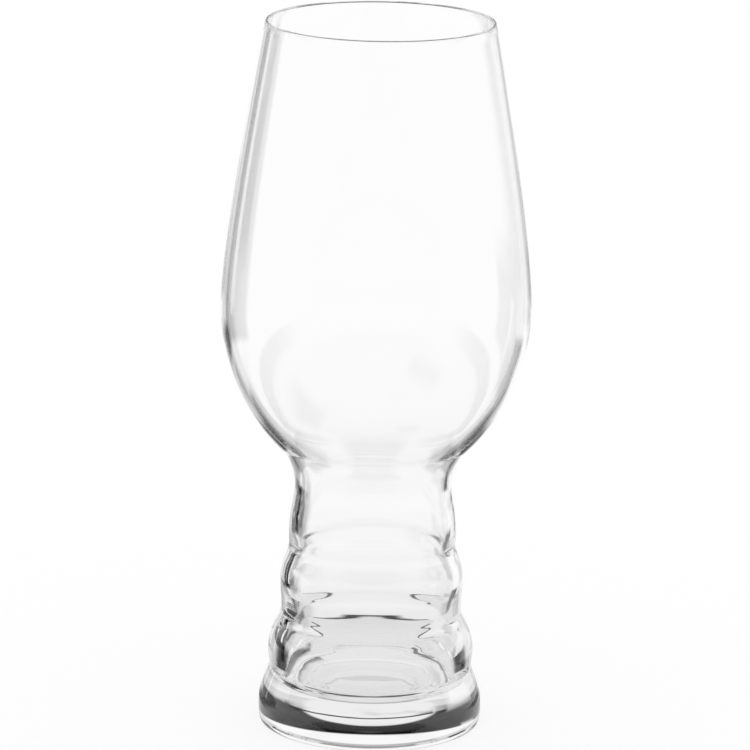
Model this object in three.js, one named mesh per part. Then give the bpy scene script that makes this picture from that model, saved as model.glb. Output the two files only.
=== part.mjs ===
// A clear beer glass: a tall bowl that narrows to the rim, over a hollow stem with three round ribs
// and a thick foot. Millimetres, +Z up, origin in the middle of the ring that the glass stands on.
import * as THREE from 'three';

// Heights, stacked from the table to the rim
const FOOT_RISE = 4.9; // table to the widest ring of the foot
const FOOT_FALL = 10.1; // up from there to the groove over the foot
const LOWER_RIB_RISE = 5; // groove to crest
const LOWER_RIB_FALL = 11.2; // crest to the next groove
const MIDDLE_RIB_RISE = 8.35;
const MIDDLE_RIB_FALL = 9.15;
const UPPER_RIB_RISE = 3;
const UPPER_RIB_FALL = 13; // ends at the neck
const BOWL_RISE = 49.3; // neck to the widest ring of the bowl
const WALL_RISE = 76; // widest ring to the rim

// Outside radii
const FOOT_RADIUS = 29.85;
const FOOT_GROOVE_RADIUS = 27;
const LOWER_RIB_RADIUS = 27.45;
const LOWER_GROOVE_RADIUS = 24.1;
const MIDDLE_RIB_RADIUS = 24.45;
const MIDDLE_GROOVE_RADIUS = 22.25;
const UPPER_RIB_RADIUS = 22.3;
const NECK_RADIUS = 20.9;
const BOWL_RADIUS = 41;
const RIM_RADIUS = 30.2;

// Glass thickness at the same rings
const FOOT_GROOVE_WALL = 3.9;
const LOWER_RIB_WALL = 3.95;
const LOWER_GROOVE_WALL = 3.1;
const MIDDLE_RIB_WALL = 2.5;
const MIDDLE_GROOVE_WALL = 2.5;
const UPPER_RIB_WALL = 2.25;
const NECK_WALL = 1.9;
const BOWL_WALL = 1.4;
const RIM_WALL = 1.05;

// How much lower the inside turns than the outside at the stem's rings; below zero it turns higher
const LOWER_RIB_DROP = -0.3;
const LOWER_GROOVE_DROP = 1.3;
const MIDDLE_RIB_DROP = 0.55;
const MIDDLE_GROOVE_DROP = 0.45;
const UPPER_RIB_DROP = -1.2;

// The bowl's curves
const BELLY_ARC = 54; // radius of the belly's round, below its widest ring
const BELLY_WALL_GAIN = 3; // the inside round is this much tighter, so the wall thickens downwards
const RIM_TAPER = 0.18; // how far the wall leans in at the rim, for each millimetre up

// The ribs' flanks: the shares of a flank's height that round into its groove and into its crest. On the
// outside each groove has its own.
const FOOT_GROOVE_ROUND = 0.1;
const LOWER_GROOVE_ROUND = 0.32;
const MIDDLE_GROOVE_ROUND = 0.2;
const NECK_ROUND = 0.2;
const OUTSIDE_CREST_ROUND = 0.56;
const INSIDE_FLANK = { groove: 0.25, crest: 0.4 };
const FOOT_FLANK = { groove: 0.03, crest: 0.42 };

// The foot
const FLOOR_HEIGHT = 10.1; // table to the inside floor
const FLOOR_RADIUS = 22; // inside wall just over the floor
const FLOOR_CORNER_RISE = 0.9; // round where the inside wall meets the floor
const FLOOR_CORNER_WIDTH = 2;
const EDGE_ROUND_WIDTH = 0.5; // how far the foot's lower edge rounds in below its widest ring
const RECESS_RADIUS = 21.2; // inside edge of the flat ring that touches the table
const RECESS_DEPTH = 0.44; // how far the underside lies clear of the table inside that ring

// Facets
const AROUND = 48;
const FLANK_STEPS = 6;
const FILLET_STEPS = 5;
const BELLY_STEPS = 7;
const WALL_STEPS = 6;
const LIP_STEPS = 4;
const ROUND_STEPS = 4;

const footCrestZ = FOOT_RISE;
const footTopZ = footCrestZ + FOOT_FALL;
const lowerRibZ = footTopZ + LOWER_RIB_RISE;
const lowerGrooveZ = lowerRibZ + LOWER_RIB_FALL;
const middleRibZ = lowerGrooveZ + MIDDLE_RIB_RISE;
const middleGrooveZ = middleRibZ + MIDDLE_RIB_FALL;
const upperRibZ = middleGrooveZ + UPPER_RIB_RISE;
const neckZ = upperRibZ + UPPER_RIB_FALL;
const bellyZ = neckZ + BOWL_RISE;
const rimZ = bellyZ + WALL_RISE;

const point = (radius, z) => new THREE.Vector2(radius, z);

// Values from 0 to 1 in equal steps, without the 0.
const steps = (count) => Array.from({ length: count }, (_, i) => (i + 1) / count);

// The rings of the ribbed stem from the foot's groove to the neck, grooves and crests in turn.
function stemRings(inside) {
  const ring = (z, radius, wall, drop) => (inside ? point(radius - wall, z - drop) : point(radius, z));
  return [
    ring(footTopZ, FOOT_GROOVE_RADIUS, FOOT_GROOVE_WALL, 0),
    ring(lowerRibZ, LOWER_RIB_RADIUS, LOWER_RIB_WALL, LOWER_RIB_DROP),
    ring(lowerGrooveZ, LOWER_GROOVE_RADIUS, LOWER_GROOVE_WALL, LOWER_GROOVE_DROP),
    ring(middleRibZ, MIDDLE_RIB_RADIUS, MIDDLE_RIB_WALL, MIDDLE_RIB_DROP),
    ring(middleGrooveZ, MIDDLE_GROOVE_RADIUS, MIDDLE_GROOVE_WALL, MIDDLE_GROOVE_DROP),
    ring(upperRibZ, UPPER_RIB_RADIUS, UPPER_RIB_WALL, UPPER_RIB_DROP),
    ring(neckZ, NECK_RADIUS, NECK_WALL, 0),
  ];
}

// How far a flank has swelled from its groove to its crest at a share t of its height: a parabola out of
// the groove, a straight that touches it, and a parabola that ends upright at the crest.
function swell(t, flank) {
  const slope = 2 / (2 - flank.groove - flank.crest);
  if (t < flank.groove) {
    return (slope * t ** 2) / (2 * flank.groove);
  }
  if (t > 1 - flank.crest) {
    return 1 - (slope * (1 - t) ** 2) / (2 * flank.crest);
  }
  return slope * (t - flank.groove / 2);
}

// Points after a groove up to its crest.
function grooveToCrest(groove, crest, flank) {
  return steps(FLANK_STEPS).map((t) =>
    point(groove.x + (crest.x - groove.x) * swell(t, flank), groove.y + (crest.y - groove.y) * t));
}

// The same flank walked the other way, from a crest to the next groove.
function crestToGroove(crest, groove, flank) {
  const climb = grooveToCrest(groove, crest, flank);
  return [...climb.reverse().slice(1), groove];
}

// The stem's outside or inside line, from the foot's groove to the neck.
function stemLine(inside) {
  const grooveRounds = [FOOT_GROOVE_ROUND, LOWER_GROOVE_ROUND, MIDDLE_GROOVE_ROUND, NECK_ROUND];
  const rings = stemRings(inside);
  const line = [rings[0]];
  for (let i = 1; i < rings.length; i += 1) {
    const outsideFlank = { groove: grooveRounds[Math.floor(i / 2)], crest: OUTSIDE_CREST_ROUND };
    const flank = inside ? INSIDE_FLANK : outsideFlank;
    const walk = i % 2 === 1 ? grooveToCrest : crestToGroove;
    line.push(...walk(rings[i - 1], rings[i], flank));
  }
  return line;
}

// The bowl's outside or inside line, from the neck to the rim: a hollow fillet that is upright at the
// neck, the belly's round that is upright at the widest ring, each touching the other, then a parabola
// that leans in by the taper at the rim.
function bowlLine(inside) {
  const neck = NECK_RADIUS - (inside ? NECK_WALL : 0);
  const belly = BOWL_RADIUS - (inside ? BOWL_WALL : 0);
  const rim = RIM_RADIUS - (inside ? RIM_WALL : 0);
  const bellyArc = BELLY_ARC - (inside ? BELLY_WALL_GAIN : 0);

  const widening = belly - neck;
  const bothArcs = (BOWL_RISE ** 2 + widening ** 2) / (2 * widening);
  const fillet = bothArcs - bellyArc;
  const turn = Math.asin(BOWL_RISE / bothArcs);

  const line = [point(neck, neckZ)];
  for (const t of steps(FILLET_STEPS)) {
    const a = turn * t;
    line.push(point(neck + fillet * (1 - Math.cos(a)), neckZ + fillet * Math.sin(a)));
  }
  for (const t of steps(BELLY_STEPS)) {
    const a = turn * (1 - t);
    line.push(point(belly - bellyArc * (1 - Math.cos(a)), bellyZ - bellyArc * Math.sin(a)));
  }
  const leanStart = point(belly, rimZ - (belly - rim) / RIM_TAPER);
  const wall = new THREE.QuadraticBezierCurve(point(belly, bellyZ), leanStart, point(rim, rimZ));
  line.push(...wall.getPoints(WALL_STEPS).slice(1));
  return line;
}

// A closed ring: out up one line and back down the other.
const closed = (line) => [...line, line[0].clone()];

function bowlProfile() {
  const outside = bowlLine(false);
  const inside = bowlLine(true);
  const lip = RIM_WALL / 2;
  const lipZ = rimZ - lip;
  outside[outside.length - 1].y = lipZ;
  inside[inside.length - 1].y = lipZ;
  const roundOver = steps(LIP_STEPS).slice(0, -1).map((t) =>
    point(RIM_RADIUS - lip + lip * Math.cos(Math.PI * t), lipZ + lip * Math.sin(Math.PI * t)));
  return closed([...outside, ...roundOver, ...inside.reverse()]);
}

function stemProfile() {
  return closed([...stemLine(false), ...stemLine(true).reverse()]);
}

function footProfile() {
  const [outsideTop] = stemRings(false);
  const [insideTop] = stemRings(true);
  const flatEdge = FOOT_RADIUS - EDGE_ROUND_WIDTH;

  const underside = [point(0, RECESS_DEPTH), point(RECESS_RADIUS, RECESS_DEPTH), point(RECESS_RADIUS, 0)];
  const edge = [point(flatEdge, 0)];
  for (const t of steps(ROUND_STEPS)) {
    const a = (t * Math.PI) / 2;
    edge.push(point(flatEdge + EDGE_ROUND_WIDTH * Math.sin(a), footCrestZ * (1 - Math.cos(a))));
  }
  const crest = point(FOOT_RADIUS, footCrestZ);
  const side = crestToGroove(crest, outsideTop, FOOT_FLANK);

  const cornerTop = point(FLOOR_RADIUS, FLOOR_HEIGHT + FLOOR_CORNER_RISE);
  const throat = [insideTop, ...grooveToCrest(insideTop, cornerTop, INSIDE_FLANK)];
  const corner = steps(ROUND_STEPS).map((t) => {
    const a = (t * Math.PI) / 2;
    const radius = cornerTop.x - FLOOR_CORNER_WIDTH * (1 - Math.cos(a));
    return point(radius, cornerTop.y - FLOOR_CORNER_RISE * Math.sin(a));
  });
  return [...underside, ...edge, ...side, ...throat, ...corner, point(0, FLOOR_HEIGHT)];
}

const clearGlass = () => new THREE.MeshStandardMaterial({
  color: 0xf2f6f5,
  roughness: 0.03,
  metalness: 0,
  transparent: true,
  opacity: 0.35,
});

// One piece of the glass: its profile turned about the upright axis.
function turned(name, profile) {
  const geometry = new THREE.LatheGeometry(profile, AROUND);
  geometry.rotateX(Math.PI / 2);
  const mesh = new THREE.Mesh(geometry, clearGlass());
  mesh.name = name;
  return mesh;
}

const glass = new THREE.Group();
glass.add(turned('foot', footProfile()));
glass.add(turned('ribbed_stem', stemProfile()));
glass.add(turned('bowl', bowlProfile()));

export default glass;
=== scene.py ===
"""A clear beer glass with a ribbed hollow stem: its fine glass surfaces, in a white light tent."""
from math import radians
from typing import NamedTuple

import bpy
import numpy as np
from bpy.props import FloatProperty, FloatVectorProperty, IntProperty, PointerProperty
from bpy.types import Operator, Panel, PropertyGroup
from mathutils import Euler, Matrix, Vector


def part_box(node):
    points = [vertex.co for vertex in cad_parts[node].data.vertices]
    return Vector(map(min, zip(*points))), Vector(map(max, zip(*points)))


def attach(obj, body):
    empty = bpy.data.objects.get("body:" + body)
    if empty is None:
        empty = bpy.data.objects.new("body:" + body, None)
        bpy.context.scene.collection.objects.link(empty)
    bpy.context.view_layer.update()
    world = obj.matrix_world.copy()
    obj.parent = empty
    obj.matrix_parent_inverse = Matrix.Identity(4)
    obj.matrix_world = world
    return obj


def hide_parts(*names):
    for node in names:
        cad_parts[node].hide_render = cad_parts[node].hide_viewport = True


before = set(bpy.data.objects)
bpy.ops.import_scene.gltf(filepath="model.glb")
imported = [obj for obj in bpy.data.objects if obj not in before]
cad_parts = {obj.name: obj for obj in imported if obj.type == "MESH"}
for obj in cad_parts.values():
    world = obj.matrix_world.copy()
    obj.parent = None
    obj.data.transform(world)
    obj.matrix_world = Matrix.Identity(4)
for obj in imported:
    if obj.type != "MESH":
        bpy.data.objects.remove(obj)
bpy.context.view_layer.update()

bl_info = {
    "name": "Ribbed beer glass",
    "version": (1, 0, 0),
    "blender": (4, 5, 0),
    "location": "3D View > Sidebar > Beer glass",
    "description": "A clear beer glass with a thin bowl, a ribbed hollow stem and a thick foot",
    "category": "Add Mesh",
}

MM = 0.001
BODY = "root"
FOOT_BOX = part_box("foot")
STEM_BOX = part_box("ribbed_stem")
BOWL_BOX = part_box("bowl")


# Values that a user would change

def linear(hex_colour):
    """An sRGB hex colour as the linear red, green, blue and alpha that shaders take."""
    srgb = np.array([int(hex_colour[i:i + 2], 16) for i in (1, 3, 5)]) / 255
    rgb = np.where(srgb <= 0.04045, srgb / 12.92, ((srgb + 0.055) / 1.055) ** 2.4)
    return (*rgb.tolist(), 1.0)


def length(name, description, millimetres):
    """A length whose default is given in millimetres."""
    return FloatProperty(name=name, description=description, default=millimetres * MM, unit="LENGTH",
                         precision=5)


def plain(name, description, number):
    """A number with no unit."""
    return FloatProperty(name=name, description=description, default=number, min=0, precision=4)


def colour(name, description, hex_colour):
    """A colour whose default is given as sRGB hex."""
    return FloatVectorProperty(name=name, description=description, default=linear(hex_colour),
                               subtype="COLOR", size=4, min=0, max=1)


class StemSizes(PropertyGroup):
    """Rings where the stem's ribs turn, from the foot's groove to the neck, and the form of the flanks"""
    foot_groove: length("Foot groove", "Outside radius of the groove over the foot", 27)
    lower_groove: length("Lower groove", "Outside radius of the groove over the lower rib", 24.1)
    middle_rib: length("Middle rib", "Outside radius of the middle rib's crest", 24.45)
    middle_groove: length("Middle groove", "Outside radius of the groove over the middle rib", 22.25)
    upper_rib: length("Upper rib", "Outside radius of the upper rib's crest", 22.3)
    neck: length("Neck", "Outside radius where the stem meets the bowl", 20.9)

    lower_rib_rise: length("Lower rib rise", "Height from the foot's groove to the lower crest", 5)
    lower_rib_fall: length("Lower rib fall", "Height from the lower crest to the next groove", 11.2)
    middle_rib_rise: length("Middle rib rise", "Height from there to the middle crest", 8.35)
    middle_rib_fall: length("Middle rib fall", "Height from the middle crest to the next groove", 9.15)
    upper_rib_rise: length("Upper rib rise", "Height from there to the upper crest", 3)

    foot_groove_wall: length("Foot groove wall", "Glass thickness at the groove over the foot", 3.9)
    lower_rib_wall: length("Lower rib wall", "Glass thickness at the lower rib's crest", 3.95)
    lower_groove_wall: length("Lower groove wall", "Glass thickness over the lower rib", 3.1)
    middle_rib_wall: length("Middle rib wall", "Glass thickness at the middle rib's crest", 2.5)
    middle_groove_wall: length("Middle groove wall", "Glass thickness over the middle rib", 2.5)
    upper_rib_wall: length("Upper rib wall", "Glass thickness at the upper rib's crest", 2.25)
    neck_wall: length("Neck wall", "Glass thickness where the stem meets the bowl", 1.9)

    lower_rib_drop: length("Lower rib drop", "How much lower the inside turns there than the outside", -0.3)
    lower_groove_drop: length("Lower groove drop", "The same, at the lower groove", 1.3)
    middle_rib_drop: length("Middle rib drop", "The same, at the middle rib", 0.55)
    middle_groove_drop: length("Middle groove drop", "The same, at the middle groove", 0.45)
    upper_rib_drop: length("Upper rib drop", "The same, at the upper rib", -1.2)

    foot_groove_round: plain("Foot groove round", "Share of the flank over it that rounds into it", 0.1)
    lower_groove_round: plain("Lower groove round", "Share of both flanks that rounds into it", 0.32)
    middle_groove_round: plain("Middle groove round", "Share of both flanks that rounds into it", 0.2)
    neck_round: plain("Neck round", "Share of the flank under it that rounds into it", 0.2)
    crest_round: plain("Crest round", "Share of an outside flank that rounds into its crest", 0.56)
    inside_ridge: plain("Inside ridge", "Share of an inside flank that rounds into its ridge", 0.25)
    inside_hollow: plain("Inside hollow", "Share of an inside flank that rounds into its hollow", 0.4)


class BowlSizes(PropertyGroup):
    """Sizes of the thin bowl"""
    rim_radius: length("Rim radius", "Outside radius of the drinking rim", 30.2)
    belly_height: length("Belly height", "Height of the widest ring over the neck", 49.3)
    belly_wall: length("Belly wall", "Glass thickness at the widest ring", 1.4)
    rim_wall: length("Rim wall", "Glass thickness at the rim", 1.05)
    belly_arc: length("Belly arc", "Radius of the belly's round, below its widest ring", 54)
    belly_wall_gain: length("Belly wall gain", "How much tighter the inside round is", 3)
    rim_taper: plain("Rim taper", "How far the wall leans in at the rim, for each millimetre up", 0.18)


class FootSizes(PropertyGroup):
    """Sizes of the thick foot"""
    crest_height: length("Crest height", "Height of the foot's widest ring", 4.9)
    floor_height: length("Floor height", "Height of the inside floor over the table", 10.1)
    floor_radius: length("Floor radius", "Inside radius just over the floor", 22)
    corner_rise: length("Corner rise", "Height of the round where the inside wall meets the floor", 0.9)
    corner_width: length("Corner width", "Width of that round", 2)
    edge_round: length("Edge round", "How far the lower edge rounds in below the widest ring", 0.5)
    recess_radius: length("Recess radius", "Inside radius of the ring that touches the table", 21.2)
    recess_depth: length("Recess depth", "How far the underside lies clear of the table there", 0.44)
    side_groove: plain("Side groove", "Share of the foot's side that rounds into the groove over it", 0.03)
    side_crest: plain("Side crest", "Share of the foot's side that rounds into its widest ring", 0.42)


class GlassLook(PropertyGroup):
    """Finish of the clear glass"""
    tint: colour("Tint", "Colour that light keeps on its way through the glass", "#FEFEFE")
    ior: plain("Refraction", "Index of refraction of clear tableware glass", 1.53)
    around: IntProperty(name="Sides", description="Facets around each piece", default=192, min=24)


class StageLook(PropertyGroup):
    """The table and the light tent"""
    table: colour("Table", "Colour of the matt white table", "#FFFFFF")
    shade: plain("Shade", "Share of the table's white that the glass can shade", 0.2)
    tent_light: plain("Tent light", "Strength of the light that falls on the table", 1)
    # Painted shade: within this radius the glass sees the table grey round its foot
    shading_reach: length("Shading reach", "Radius of the pale grey mat that the glass stands on", 77)
    # Painted shade past that zone, which falls off with distance
    outer_shade: plain("Outer shade", "Share of its white that the table loses at the mat's edge", 0.16)


class BeerGlassSettings(PropertyGroup):
    """Everything that a user would change"""
    stem: PointerProperty(type=StemSizes)
    bowl: PointerProperty(type=BowlSizes)
    foot: PointerProperty(type=FootSizes)
    glass: PointerProperty(type=GlassLook)
    stage: PointerProperty(type=StageLook)


# Lines of the glass's section: arrays of radius and height

FLANK_STEPS = 32
FILLET_STEPS = 22
BELLY_STEPS = 40
WALL_STEPS = 48
LIP_STEPS = 12
ROUND_STEPS = 18


def flank(groove, crest, groove_share, crest_share):
    """One side of a rib, from its groove to its crest: the height runs evenly, and the radius swells along
    a parabola out of the groove, a straight that touches it, and a parabola that ends upright at the crest.
    The shares of the height that the two parabolas take say how sharp the groove and the crest are."""
    t = np.linspace(0, 1, FLANK_STEPS + 1)
    slope = 2 / (2 - groove_share - crest_share)
    swell = np.where(t < groove_share, slope * t ** 2 / (2 * groove_share), slope * (t - groove_share / 2))
    swell = np.where(t > 1 - crest_share, 1 - slope * (1 - t) ** 2 / (2 * crest_share), swell)
    groove, crest = np.array(groove), np.array(crest)
    return groove + (crest - groove) * np.column_stack((swell, t))


def arc(centre, across, up, start, end, steps):
    """Part of an upright ellipse: the angle runs evenly from start to end, and 0 points outwards."""
    a = np.linspace(start, end, steps + 1)
    return np.array(centre) + np.column_stack((across * np.cos(a), up * np.sin(a)))


def joined(*lines):
    """Lines laid end to end, each without its last point, which is the next one's first."""
    return np.vstack([line[:-1] for line in lines[:-1]] + [lines[-1]])


def stem_rings(stem, inside):
    """Radius and height of each ring of the stem, groove and crest in turn, from the foot to the neck."""
    radii = (stem.foot_groove, STEM_BOX[1].x, stem.lower_groove, stem.middle_rib, stem.middle_groove,
             stem.upper_rib, stem.neck)
    rises = (STEM_BOX[0].z, stem.lower_rib_rise, stem.lower_rib_fall, stem.middle_rib_rise,
             stem.middle_rib_fall, stem.upper_rib_rise)
    walls = (stem.foot_groove_wall, stem.lower_rib_wall, stem.lower_groove_wall, stem.middle_rib_wall,
             stem.middle_groove_wall, stem.upper_rib_wall, stem.neck_wall)
    drops = (0, stem.lower_rib_drop, stem.lower_groove_drop, stem.middle_rib_drop,
             stem.middle_groove_drop, stem.upper_rib_drop, 0)
    outside = np.column_stack((radii, [*np.cumsum(rises), STEM_BOX[1].z]))
    return outside - inside * np.column_stack((walls, drops))


def stem_line(stem, inside):
    """The stem's outside or inside line: flanks end to end, every second one walked from its crest."""
    groove_rounds = (stem.foot_groove_round, stem.lower_groove_round, stem.middle_groove_round,
                     stem.neck_round)
    rings = stem_rings(stem, inside)
    flanks = []
    for i, (low, high) in enumerate(zip(rings[:-1], rings[1:])):
        outside = (groove_rounds[(i + 1) // 2], stem.crest_round)
        shares = (stem.inside_ridge, stem.inside_hollow) if inside else outside
        flanks.append(flank(low, high, *shares) if i % 2 == 0 else flank(high, low, *shares)[::-1])
    return joined(*flanks)


def bowl_line(settings, inside):
    """The bowl's outside or inside line: a hollow fillet that is upright at the neck, the belly's round
    that is upright at the widest ring and touches the fillet, and a parabola that leans in at the rim."""
    bowl, stem = settings.bowl, settings.stem
    neck = stem.neck - inside * stem.neck_wall
    belly = BOWL_BOX[1].x - inside * bowl.belly_wall
    rim = bowl.rim_radius - inside * bowl.rim_wall
    belly_arc = bowl.belly_arc - inside * bowl.belly_wall_gain
    neck_z = BOWL_BOX[0].z
    belly_z = neck_z + bowl.belly_height
    rim_z = BOWL_BOX[1].z

    widening = belly - neck
    both_arcs = (bowl.belly_height ** 2 + widening ** 2) / (2 * widening)
    fillet = both_arcs - belly_arc
    turn = np.arcsin(bowl.belly_height / both_arcs)
    hollow = arc((neck + fillet, neck_z), fillet, fillet, np.pi, np.pi - turn, FILLET_STEPS)
    swell = arc((belly - belly_arc, belly_z), belly_arc, belly_arc, -turn, 0, BELLY_STEPS)

    t = np.linspace(0, 1, WALL_STEPS + 1)[:, None]
    start = np.array((belly, belly_z))
    lean = np.array((belly, rim_z - (belly - rim) / bowl.rim_taper))
    lip = bowl.rim_wall / 2
    lean_in = np.arctan(bowl.rim_taper) + inside * np.pi
    lip_centre = np.array((bowl.rim_radius - lip, rim_z - lip))
    end = lip_centre + lip * np.array((np.cos(lean_in), np.sin(lean_in)))
    wall = (1 - t) ** 2 * start + 2 * t * (1 - t) * lean + t ** 2 * end
    return joined(hollow, swell, wall)


def bowl_walls(settings):
    """The bowl's section from the seam up the outside, over the round lip and down the inside. The lip
    leans as the wall does, so it touches both lines."""
    lip = settings.bowl.rim_wall / 2
    lean = np.arctan(settings.bowl.rim_taper)
    centre = (settings.bowl.rim_radius - lip, BOWL_BOX[1].z - lip)
    over = arc(centre, lip, lip, lean, np.pi + lean, LIP_STEPS)
    return joined(bowl_line(settings, 0), over, bowl_line(settings, 1)[::-1])


def straight(start, end):
    """A straight line of two points."""
    return np.array((start, end), float)


def foot_sole(foot):
    """The foot's flat underside, from the axis to the recess's edge, down its step and out to the rim."""
    edge = foot.recess_radius
    return (straight((0, foot.recess_depth), (edge, foot.recess_depth)),
            straight((edge, foot.recess_depth), (edge, 0)),
            straight((edge, 0), (FOOT_BOX[1].x - foot.edge_round, 0)))


def foot_side(settings):
    """The foot's outside, from the table round the lower edge and up to the groove: a quarter ellipse and a
    rib's flank."""
    foot = settings.foot
    radius = FOOT_BOX[1].x
    edge = arc((radius - foot.edge_round, foot.crest_height), foot.edge_round, foot.crest_height,
               -np.pi / 2, 0, ROUND_STEPS)
    groove = stem_rings(settings.stem, 0)[0]
    side = flank(groove, (radius, foot.crest_height), foot.side_groove, foot.side_crest)[::-1]
    return joined(edge, side)


def foot_throat(settings):
    """The foot's inside wall, from the seam down to the floor: a rib's flank and a quarter ellipse."""
    foot, stem = settings.foot, settings.stem
    corner_z = foot.floor_height + foot.corner_rise
    ridge = stem_rings(stem, 1)[0]
    throat = flank(ridge, (foot.floor_radius, corner_z), stem.inside_ridge, stem.inside_hollow)
    corner = arc((foot.floor_radius - foot.corner_width, corner_z), foot.corner_width, foot.corner_rise,
                 0, -np.pi / 2, ROUND_STEPS)
    return joined(throat, corner)


# Turned surfaces

# A ring narrower than this, in metres, is a point on the axis
AXIS_REACH = 1e-9


def wall_normals(line):
    """Radius and height part of the normal at each point of a line, at a right angle to the mean of its two
    neighbouring steps. Lines are level or upright at their ends, so the nearest axis is taken there."""
    step = np.diff(line, axis=0)
    step /= np.linalg.norm(step, axis=1)[:, None]
    mean = np.vstack((np.rint(step[:1]), step[:-1] + step[1:], np.rint(step[-1:])))
    mean /= np.linalg.norm(mean, axis=1)[:, None]
    return np.column_stack((mean[:, 1], -mean[:, 0]))


def turned(name, walls, materials, around):
    """A closed surface of revolution: the wall lines, laid end to end, are turned about the upright axis,
    x = r cos a and y = r sin a for equal angles a. Walls that share an end meet in a crease, a flat seam
    ring closes a gap between two ends, and a ring on the axis is the tip of a fan of triangles."""
    lines = []
    for wall, following in zip(walls, walls[1:] + walls[:1]):
        lines.append((wall, 0))
        gap = straight(wall[-1], following[0])
        if not np.allclose(gap[0], gap[1]) and gap[:, 0].any():
            lines.append((gap, 1))
    is_seam = np.concatenate([np.full(len(line) - 1, kind) for line, kind in lines])
    normals = [wall_normals(line) for line, kind in lines]
    low_normals = np.vstack([normal[:-1] for normal in normals])
    high_normals = np.vstack([normal[1:] for normal in normals])
    section = np.vstack([line[:-1] for line, kind in lines] + [lines[-1][0][-1:]])
    closes = np.allclose(section[0], section[-1])
    section = section[:-1] if closes else section

    a = np.arange(around) * 2 * np.pi / around
    circle = np.column_stack((np.cos(a), np.sin(a)))

    def spun(radius, height):
        """Points or normals given by their radius and height parts, at each angle."""
        upright = np.broadcast_to(height[:, None, None], (len(height), around, 1))
        return np.concatenate((radius[:, None, None] * circle, upright), axis=2)

    on_axis = section[:, 0] < AXIS_REACH
    ring_sizes = np.where(on_axis, 1, around)
    number = (np.cumsum(ring_sizes) - ring_sizes)[:, None] + np.arange(around) * ~on_axis[:, None]
    is_own = ~on_axis[:, None] | (np.arange(around) == 0)
    places = spun(*section.T)[is_own]

    low = number[:len(is_seam)]
    high = np.roll(number, -1, axis=0)[:len(is_seam)]
    faces = np.stack((low, np.roll(low, -1, axis=1), np.roll(high, -1, axis=1), high), axis=2)
    low_normals, high_normals = spun(*low_normals.T), spun(*high_normals.T)
    corner_normals = np.stack((low_normals, np.roll(low_normals, -1, axis=1),
                               np.roll(high_normals, -1, axis=1), high_normals), axis=2)
    is_corner = np.ones(faces.shape, bool)
    is_corner[:, :, 1] = faces[:, :, 0] != faces[:, :, 1]
    is_corner[:, :, 3] = faces[:, :, 2] != faces[:, :, 3]
    corner_count = is_corner.sum(axis=2).ravel()

    mesh = bpy.data.meshes.new(name)
    mesh.vertices.add(len(places))
    mesh.vertices.foreach_set("co", places.ravel())
    mesh.loops.add(corner_count.sum())
    mesh.loops.foreach_set("vertex_index", faces[is_corner])
    mesh.polygons.add(len(corner_count))
    mesh.polygons.foreach_set("loop_start", np.cumsum(corner_count) - corner_count)
    mesh.polygons.foreach_set("material_index", np.repeat(is_seam, around))
    mesh.update(calc_edges=True)
    for material in materials:
        mesh.materials.append(material)
    mesh.normals_split_custom_set(corner_normals[is_corner])
    piece = bpy.data.objects.new(name, mesh)
    bpy.context.collection.objects.link(piece)
    return piece


def dress(piece, node):
    """Puts a piece in the place of its plain node."""
    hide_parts(node)
    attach(piece, BODY)


# Materials

def add_node(tree, kind, inputs=(), **settings):
    """Adds a node. Settings are its own properties, and inputs gives each socket a number, a colour or the
    output that feeds it."""
    node = tree.nodes.new(kind)
    for name, value in settings.items():
        setattr(node, name, value)
    for socket, value in dict(inputs).items():
        if isinstance(value, bpy.types.NodeSocket):
            tree.links.new(value, node.inputs[socket])
        else:
            node.inputs[socket].default_value = value
    return node


def new_material(name):
    """An empty node material and its tree."""
    material = bpy.data.materials.new(name)
    material.use_nodes = True
    material.node_tree.nodes.clear()
    return material, material.node_tree


def clear_glass(name, look, wave_length, wave_height):
    """Clear glass, blown into a mould and fire-polished. It is colourless and sharp to look through, and
    the chill of the mould leaves long, shallow waves that make the dark lines in it waver. Their length
    and height are in millimetres."""
    material, tree = new_material(name)
    place = add_node(tree, "ShaderNodeTexCoord").outputs["Object"]
    waves = add_node(tree, "ShaderNodeTexNoise", {"Vector": place, "Scale": 1 / (wave_length * MM),
                                                  "Detail": 1.0, "Roughness": 0.4})
    bump = add_node(tree, "ShaderNodeBump", {"Height": waves.outputs["Fac"],
                                             "Distance": wave_height * MM})
    shader = add_node(tree, "ShaderNodeBsdfPrincipled",
                      {"Base Color": look.tint, "Roughness": 0.0, "IOR": look.ior,
                       "Transmission Weight": 1.0, "Normal": bump.outputs["Normal"]})
    add_node(tree, "ShaderNodeOutputMaterial", {"Surface": shader.outputs["BSDF"]})
    return material


def fused_seam():
    """The inside of the glass where two zones run into each other: there is no surface to see."""
    name = "Fused glass seam"
    if name in bpy.data.materials:
        return bpy.data.materials[name]
    material, tree = new_material(name)
    clear = add_node(tree, "ShaderNodeBsdfTransparent")
    add_node(tree, "ShaderNodeOutputMaterial", {"Surface": clear.outputs["BSDF"]})
    return material


# The light tent

class Patch(NamedTuple):
    """A light or dark patch: where it starts and ends round the compass, in degrees, and upwards or
    outwards, its soft edge and its brightness, and how many times softer its left and right ends are.
    Compass 0 lies behind the glass and 90 to its right."""
    left: float
    right: float
    low: float
    high: float
    soft: float
    brightness: float
    ends: float = 1.0
    is_round: bool = False


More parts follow.
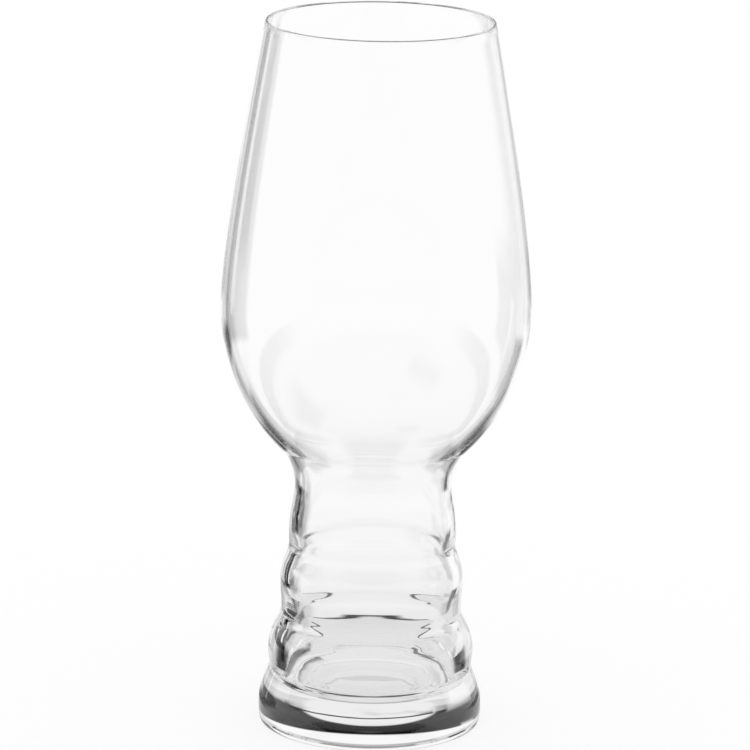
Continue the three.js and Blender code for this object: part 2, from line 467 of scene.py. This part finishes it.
# What stands round the glass, in degrees over the horizon, later ones in front
TENT = {
    "ceiling": Patch(-200, 200, 22, 100, 3, 0.85),
    "dark beam on the right": Patch(42, 88, 32, 64, 8, 0.0),
    "dark beam on the left": Patch(-143, -108, 34, 44, 6, 0.1),
    "dark room over the backdrop": Patch(-102, 102, 8.7, 18.5, 0.4, 0.0, ends=50),
    "room's upper wall": Patch(-102, 102, 18.5, 22, 0.3, 0.7, ends=66),
    "round window": Patch(-27, 27, 13.9, 24, 0.5, 0.85, is_round=True),
    "lamp on the left": Patch(-60, -36, 18.4, 31, 3, 0.95),
    "rail under the upper wall": Patch(-26, 40, 17.95, 18.4, 0.12, 0.0),
    "white screen on the left": Patch(-60, -46, 3, 9.5, 2, 1.0),
    "grey pole on the left": Patch(-26, -18, -15, 0, 1.5, 0.6),
    "grey pole on the right": Patch(14, 26, -15, 0, 1.5, 0.6),
    "black flag on the left": Patch(-68, -29.5, -19, 2, 1.5, 0.0),
    "slit in the flag": Patch(-47, -43, -13, 1, 0.8, 1.0),
    "pale edge of the flag": Patch(-20, -10, -24, -15.5, 2, 0.7),
    "dark edge of the flag": Patch(-33, -16, -20.5, -15.3, 1.5, 0.1),
    "grey flag on the left": Patch(-34, -13, -32, -21, 2, 0.4),
    "black flag on the right": Patch(30, 50, -31, -17.5, 1.5, 0.05),
    "grey flag on the right": Patch(11, 30, -32, -24, 2, 0.4),
    "low flag behind": Patch(-42, 42, -60, -29.5, 1.5, 0.1),
}
# Painted shade and dark patches on the table that the glass shows, in mm from its axis, later ones on top
NEAR_SHADE = {
    # Painted shade round the foot: a grey zone in place of the occlusion under the glass
    "shading": Patch(-200, 200, -10, 100, 1, 0.75),
    "front of the mat": Patch(135, 225, 22, 52, 8, 0.05),
    # Painted shadow line on the table behind the glass
    "shadow line behind the glass": Patch(-22, 22, 75.2, 80, 0.4, 0.0),
    "left of the edge": Patch(-84, -54, 40, 90, 2, 0.0, ends=4),
    "right of the edge": Patch(50, 78, 50, 90, 2, 0.0, ends=3),
    # A dark patch on the table just right of the foot
    "dark patch right of the foot": Patch(24, 40, 31, 36, 1, 0.0),
    # Painted contact shadow under the left part of the foot's standing ring
    "contact shadow under the foot's left edge": Patch(-84, -35, 24, 29.5, 1, 0.0),
}
# Half width of the soft edge of the painted shade round the foot, in millimetres
SHADE_EDGE = 0.6
# Power of the distance with which the painted shade past that zone falls off
OUTER_SHADE_POWER = 1.7
HALF_TURN = 180.0


def compass_of(tree, way):
    """Compass of a way or a place, in degrees: its angle from straight behind the glass to the right."""
    split = add_node(tree, "ShaderNodeSeparateXYZ", {"Vector": way}).outputs
    turn = add_node(tree, "ShaderNodeMath", {0: split["X"], 1: split["Y"]}, operation="ARCTAN2")
    return add_node(tree, "ShaderNodeMath", {0: turn.outputs[0]}, operation="DEGREES").outputs[0]


def patched(tree, patches, compass, height):
    """Brightness of white that the patches lie on, each over the ones before it. A patch covers what lies
    within its half width and half height, and fades from soft inside its edge to soft outside."""
    shown = 1.0
    for patch in patches.values():
        half_width, half_height = (patch.right - patch.left) / 2, (patch.high - patch.low) / 2
        aside = add_node(tree, "ShaderNodeMath", {0: compass, 1: (patch.left + patch.right) / 2},
                         operation="SUBTRACT")
        aside = add_node(tree, "ShaderNodeMath", {0: aside.outputs[0], 1: HALF_TURN},
                         operation="PINGPONG")
        above = add_node(tree, "ShaderNodeMath", {0: height, 1: (patch.low + patch.high) / 2},
                         operation="SUBTRACT")
        above = add_node(tree, "ShaderNodeMath", {0: above.outputs[0]}, operation="ABSOLUTE")
        if patch.is_round:
            aside = add_node(tree, "ShaderNodeMath", {0: aside.outputs[0], 1: half_height / half_width},
                             operation="MULTIPLY")
            both = add_node(tree, "ShaderNodeCombineXYZ", {"X": aside.outputs[0], "Y": above.outputs[0]})
            out = add_node(tree, "ShaderNodeVectorMath", {0: both.outputs[0]}, operation="LENGTH")
            beyond = add_node(tree, "ShaderNodeMath", {0: out.outputs["Value"], 1: half_height},
                              operation="SUBTRACT")
        else:
            aside = add_node(tree, "ShaderNodeMath", {0: aside.outputs[0], 1: 1 / patch.ends,
                                                      2: -half_width / patch.ends},
                             operation="MULTIPLY_ADD")
            above = add_node(tree, "ShaderNodeMath", {0: above.outputs[0], 1: half_height},
                             operation="SUBTRACT")
            beyond = add_node(tree, "ShaderNodeMath", {0: aside.outputs[0], 1: above.outputs[0]},
                              operation="MAXIMUM")
        cover = add_node(tree, "ShaderNodeMapRange", {"Value": beyond.outputs[0], "From Min": patch.soft,
                                                      "From Max": -patch.soft},
                         interpolation_type="SMOOTHSTEP")
        shown = add_node(tree, "ShaderNodeMix", {"Factor": cover.outputs["Result"], "A": shown,
                                                 "B": patch.brightness}).outputs["Result"]
    return shown


def seen_in_glass(tree):
    """1 for what the glass bends or mirrors, 0 for what is seen past it."""
    path = add_node(tree, "ShaderNodeLightPath").outputs
    return add_node(tree, "ShaderNodeMath", {0: path["Is Glossy Ray"], 1: path["Is Transmission Ray"]},
                    operation="MAXIMUM").outputs[0]


def light_tent(stage):
    """A white tent round the table, with dark flags beside its white screens, so that clear glass shows its
    edges. Only the glass sees them: the table is lit evenly, and the camera sees plain white."""
    world = bpy.data.worlds.new("White light tent")
    world.use_nodes = True
    tree = world.node_tree
    tree.nodes.clear()
    way = add_node(tree, "ShaderNodeTexCoord").outputs["Generated"]
    upright = add_node(tree, "ShaderNodeSeparateXYZ", {"Vector": way}).outputs["Z"]
    rise = add_node(tree, "ShaderNodeMath", {0: upright}, operation="ARCSINE")
    height = add_node(tree, "ShaderNodeMath", {0: rise.outputs[0]}, operation="DEGREES").outputs[0]
    shown = patched(tree, TENT, compass_of(tree, way), height)
    strength = add_node(tree, "ShaderNodeMix", {"Factor": seen_in_glass(tree), "A": stage.tent_light,
                                                "B": shown}).outputs["Result"]
    background = add_node(tree, "ShaderNodeBackground", {"Color": (1, 1, 1, 1), "Strength": strength})
    add_node(tree, "ShaderNodeOutputWorld", {"Surface": background.outputs["Background"]})
    return world


def white_table(stage):
    """A matt white table top, lifted to plain white but for the glass's shadow. In the glass it glows with
    painted shade: a grey zone round the foot with darker patches. Past that zone the tent goes on below
    the table, under a painted shade that falls off with a power of the distance."""
    material, tree = new_material("Matt white table")
    place = add_node(tree, "ShaderNodeTexCoord").outputs["Object"]
    away = add_node(tree, "ShaderNodeVectorMath", {0: place, "Scale": 1 / MM}, operation="SCALE")
    away = add_node(tree, "ShaderNodeVectorMath", {0: away.outputs[0]}, operation="LENGTH").outputs["Value"]
    shown = patched(tree, NEAR_SHADE, compass_of(tree, place), away)
    # Painted shade: near the foot the table glows with these brightnesses where the glass looks at it
    shading = add_node(tree, "ShaderNodeEmission", {"Strength": shown})
    reach = stage.shading_reach / MM
    on_shading = add_node(tree, "ShaderNodeMapRange", {"Value": away, "From Min": reach + SHADE_EDGE,
                                                   "From Max": reach - SHADE_EDGE})
    # Painted shade past that zone: the tent seen below the table is darkened, less and less with distance
    near = add_node(tree, "ShaderNodeMath", {0: reach, 1: away}, operation="DIVIDE")
    fall = add_node(tree, "ShaderNodeMath", {0: near.outputs[0], 1: OUTER_SHADE_POWER}, operation="POWER")
    left = add_node(tree, "ShaderNodeMath", {0: fall.outputs[0], 1: -stage.outer_shade, 2: 1.0},
                    operation="MULTIPLY_ADD")
    tent = add_node(tree, "ShaderNodeBsdfTransparent", {"Color": left.outputs[0]})
    in_glass = add_node(tree, "ShaderNodeMixShader", {0: on_shading.outputs["Result"], 1: tent.outputs[0],
                                                      2: shading.outputs[0]})
    white = add_node(tree, "ShaderNodeEmission")
    matt = add_node(tree, "ShaderNodeBsdfDiffuse", {"Color": stage.table})
    past_glass = add_node(tree, "ShaderNodeMixShader", {0: stage.shade, 1: white.outputs[0],
                                                        2: matt.outputs[0]})
    both = add_node(tree, "ShaderNodeMixShader", {0: seen_in_glass(tree), 1: past_glass.outputs[0],
                                                  2: in_glass.outputs[0]})
    add_node(tree, "ShaderNodeOutputMaterial", {"Surface": both.outputs[0]})
    return material


# The stage, in metres, with the camera's angles in degrees and its lens in millimetres
TABLE_REACH = 30
TABLE_GAP = 0.0001
CAMERA_PLACE = (0, -1.2, 0.4033)
CAMERA_DOWN = 14.412
CAMERA_ROLL = 0.99
CAMERA_LENS = 224.7
# Light that a wall catches can turn in it hundreds of times before it leaves
LIGHT_BOUNCES = 600


# Operators

class BEERGLASS_OT_bowl(Operator):
    """Turn the thin bowl, from the neck to the rim"""
    bl_idname = "beer_glass.bowl"
    bl_label = "Bowl"

    def execute(self, context):
        settings = context.scene.beer_glass
        blown = clear_glass("Blown clear glass", settings.glass, wave_length=18, wave_height=0.004)
        piece = turned("bowl_glass", [bowl_walls(settings)], (blown, fused_seam()), settings.glass.around)
        dress(piece, "bowl")
        return {"FINISHED"}


class BEERGLASS_OT_stem(Operator):
    """Turn the hollow stem with its three ribs"""
    bl_idname = "beer_glass.stem"
    bl_label = "Ribbed stem"

    def execute(self, context):
        settings = context.scene.beer_glass
        moulded = clear_glass("Moulded clear glass", settings.glass, wave_length=9, wave_height=0.008)
        walls = [stem_line(settings.stem, 0), stem_line(settings.stem, 1)[::-1]]
        piece = turned("ribbed_stem_glass", walls, (moulded, fused_seam()), settings.glass.around)
        dress(piece, "ribbed_stem")
        return {"FINISHED"}


class BEERGLASS_OT_foot(Operator):
    """Turn the thick foot with the inside floor and the standing ring"""
    bl_idname = "beer_glass.foot"
    bl_label = "Foot"

    def execute(self, context):
        settings = context.scene.beer_glass
        pressed = clear_glass("Pressed clear glass", settings.glass, wave_length=8, wave_height=0.006)
        throat = foot_throat(settings)
        floor = straight(throat[-1], (0, settings.foot.floor_height))
        walls = [*foot_sole(settings.foot), foot_side(settings), throat, floor]
        piece = turned("foot_glass", walls, (pressed, fused_seam()), settings.glass.around)
        dress(piece, "foot")
        return {"FINISHED"}


class BEERGLASS_OT_stage(Operator):
    """Set the table, the light tent and the camera"""
    bl_idname = "beer_glass.stage"
    bl_label = "Stage"

    def execute(self, context):
        stage = context.scene.beer_glass.stage
        scene = context.scene
        corners = np.array(((-1, -1, 0), (1, -1, 0), (1, 1, 0), (-1, 1, 0))) * TABLE_REACH
        corners = corners - (0, 0, TABLE_GAP)
        mesh = bpy.data.meshes.new("table")
        mesh.from_pydata(corners.tolist(), [], [(0, 1, 2, 3)])
        mesh.materials.append(white_table(stage))
        table = bpy.data.objects.new("table", mesh)
        context.collection.objects.link(table)

        scene.world = light_tent(stage)
        scene.view_settings.view_transform = "Standard"
        scene.cycles.max_bounces = LIGHT_BOUNCES
        scene.cycles.glossy_bounces = LIGHT_BOUNCES
        scene.cycles.transmission_bounces = LIGHT_BOUNCES
        scene.cycles.transparent_max_bounces = LIGHT_BOUNCES

        camera = bpy.data.objects.new("camera", bpy.data.cameras.new("camera"))
        camera.data.lens = CAMERA_LENS
        camera.location = CAMERA_PLACE
        pitch = Euler((radians(90 - CAMERA_DOWN), 0, 0)).to_matrix()
        camera.rotation_euler = (pitch @ Matrix.Rotation(radians(CAMERA_ROLL), 3, "Z")).to_euler()
        context.collection.objects.link(camera)
        scene.camera = camera
        return {"FINISHED"}


class BEERGLASS_PT_panel(Panel):
    """Lists the glass's pieces and the stage"""
    bl_idname = "BEERGLASS_PT_panel"
    bl_label = "Beer glass"
    bl_space_type = "VIEW_3D"
    bl_region_type = "UI"
    bl_category = "Beer glass"

    def draw(self, context):
        for operator in OPERATORS:
            self.layout.operator(operator.bl_idname)


OPERATORS = (BEERGLASS_OT_stage, BEERGLASS_OT_foot, BEERGLASS_OT_stem, BEERGLASS_OT_bowl)
CLASSES = (StemSizes, BowlSizes, FootSizes, GlassLook, StageLook, BeerGlassSettings,
           *OPERATORS, BEERGLASS_PT_panel)


def register():
    for cls in CLASSES:
        bpy.utils.register_class(cls)
    bpy.types.Scene.beer_glass = PointerProperty(type=BeerGlassSettings)


def unregister():
    del bpy.types.Scene.beer_glass
    for cls in reversed(CLASSES):
        bpy.utils.unregister_class(cls)


def main():
    register()
    bpy.ops.beer_glass.stage()
    bpy.ops.beer_glass.foot()
    bpy.ops.beer_glass.stem()
    bpy.ops.beer_glass.bowl()


if __name__ == "__main__":
    main()
